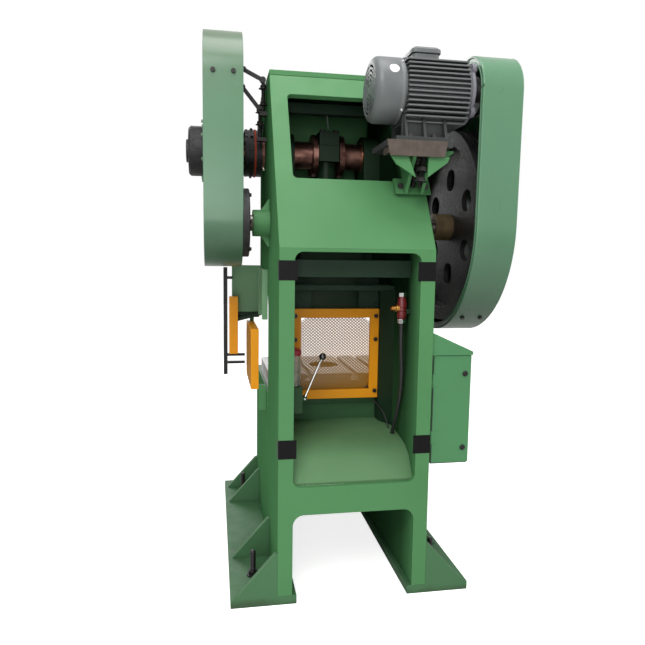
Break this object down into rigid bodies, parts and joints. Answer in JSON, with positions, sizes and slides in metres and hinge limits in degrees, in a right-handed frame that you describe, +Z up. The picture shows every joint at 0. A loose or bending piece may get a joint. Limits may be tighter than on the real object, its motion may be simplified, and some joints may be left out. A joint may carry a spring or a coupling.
{
  "type": "mechanical stamping press",
  "caption": "Open-back crank press on a fixed welded frame, with geared crank drive, belt-driven flywheel, electric motor, guards, light curtain and hand oil pump.",
  "frame": {"origin": "on the floor, in the middle of the four anchor bolts", "axes": "+Z up, the operator at -Y, the gears on the +X side and the flywheel on the -X side"},
  "size_m": [1.302, 1.35, 2.352],
  "materials": {
    "green_paint": "semi-gloss",
    "guard_paint": "semi-gloss",
    "yellow_paint": "semi-gloss",
    "grey_paint": "satin",
    "black_paint": "satin",
    "machined_steel": "machined",
    "warm_steel": "machined, oiled",
    "dark_iron": "rough",
    "base_iron": "rough",
    "bronze": "machined",
    "zinc": "plated",
    "rubber": "matt",
    "clear_cup": "clear",
    "red_plastic": "gloss"
  },
  "bodies": {
    "frame": {"air_hose": "rubber", "air_regulator": "bronze", "anchor_bolts": "zinc", "bearing_bushes": "bronze", "bearing_housings": "green_paint", "bed_plates": "green_paint", "belt_guard": "guard_paint", "bolster": "machined_steel", "brackets": "green_paint", "brake_block": "dark_iron", "cabinet": "green_paint", "cheeks": "green_paint", "cross_beams": "green_paint", "feet": "base_iron", "floor_sheet": "green_paint", "gear_guard": "guard_paint", "guard_meshes": "yellow_paint", "guard_stays": "dark_iron", "head_plates": "green_paint", "hex_bolts": "zinc", "light_bar_posts": "black_paint", "motor_bracket": "green_paint", "motor_covers": "grey_paint", "motor_frame": "grey_paint", "motor_plate": "base_iron", "oil_cap": "red_plastic", "oil_pipe": "grey_paint", "oil_pump_body": "green_paint", "oil_reservoir": "clear_cup", "rear_guard_frame": "yellow_paint", "rear_plate": "green_paint", "side_guards": "yellow_paint", "side_mounts": "green_paint", "slide_guides": "green_paint", "sloped_rear_plate": "green_paint", "terminal_box": "grey_paint", "throat_liners": "green_paint", "v_belts": "rubber"},
    "crank": {"crankshaft": "warm_steel", "bull_gear": "dark_iron", "clutch_disc": "dark_iron", "crank_end_hub": "dark_iron"},
    "rod": {"connecting_rod": "green_paint", "connecting_rod_cap": "green_paint", "cap_bolts": "zinc", "rod_bush": "bronze", "ball_screw": "machined_steel"},
    "ram": {"slide": "green_paint", "shank_clamp": "machined_steel"},
    "knock_out": {"knock_out_bar": "machined_steel"},
    "drive": {"drive_shaft": "machined_steel", "pinion": "machined_steel", "flywheel": "dark_iron", "flywheel_hub": "warm_steel"},
    "rotor": {"motor_shaft": "machined_steel", "motor_pulley": "dark_iron"},
    "lever": {"pump_lever": "zinc"},
    "door": {"cabinet_door": "green_paint"},
    "lock_high": {"upper_lock": "zinc"},
    "lock_low": {"lower_lock": "zinc"}
  },
  "joints": [
    {"name": "crank_turn", "type": "hinge", "parent": "frame", "child": "crank", "pos_m": [0, -0.105, 1.887], "axis": [1, 0, 0], "continuous": true},
    {"name": "rod_turn", "type": "hinge", "parent": "crank", "child": "rod", "pos_m": [0, -0.105, 1.927], "axis": [1, 0, 0], "continuous": true},
    {"name": "slide_stroke", "type": "slide", "parent": "frame", "child": "ram", "axis": [0, 0, 1], "range_m": [-0.08, 0]},
    {"name": "knock_out_lift", "type": "slide", "parent": "ram", "child": "knock_out", "axis": [0, 0, 1], "range_m": [0, 0.036]},
    {"name": "drive_shaft_turn", "type": "hinge", "parent": "frame", "child": "drive", "pos_m": [0, 0.225, 1.53637], "axis": [1, 0, 0], "continuous": true},
    {"name": "motor_turn", "type": "hinge", "parent": "frame", "child": "rotor", "pos_m": [0, 0.55, 2.043], "axis": [1, 0, 0], "continuous": true},
    {"name": "pump_lever_stroke", "type": "hinge", "parent": "frame", "child": "lever", "pos_m": [0.164, 0.35, 0.773], "axis": [0, 1, 0], "range_deg": [-60, 20]},
    {"name": "cabinet_door_swing", "type": "hinge", "parent": "frame", "child": "door", "pos_m": [-0.32, 0.6305, 0.552], "axis": [0, 0, 1], "range_deg": [-95, 0]},
    {"name": "upper_lock_turn", "type": "hinge", "parent": "door", "child": "lock_high", "pos_m": [-0.459, 0.6305, 0.9255], "axis": [0, 1, 0], "range_deg": [0, 90]},
    {"name": "lower_lock_turn", "type": "hinge", "parent": "door", "child": "lock_low", "pos_m": [-0.459, 0.6305, 0.615], "axis": [0, 1, 0], "range_deg": [0, 90]}
  ],
  "couplings": [
    {"joint": "rod_turn", "follows": "crank_turn", "ratio": -1},
    {"joint": "drive_shaft_turn", "follows": "crank_turn", "ratio": -5.2941},
    {"joint": "motor_turn", "follows": "crank_turn", "ratio": -31.69}
  ]
}
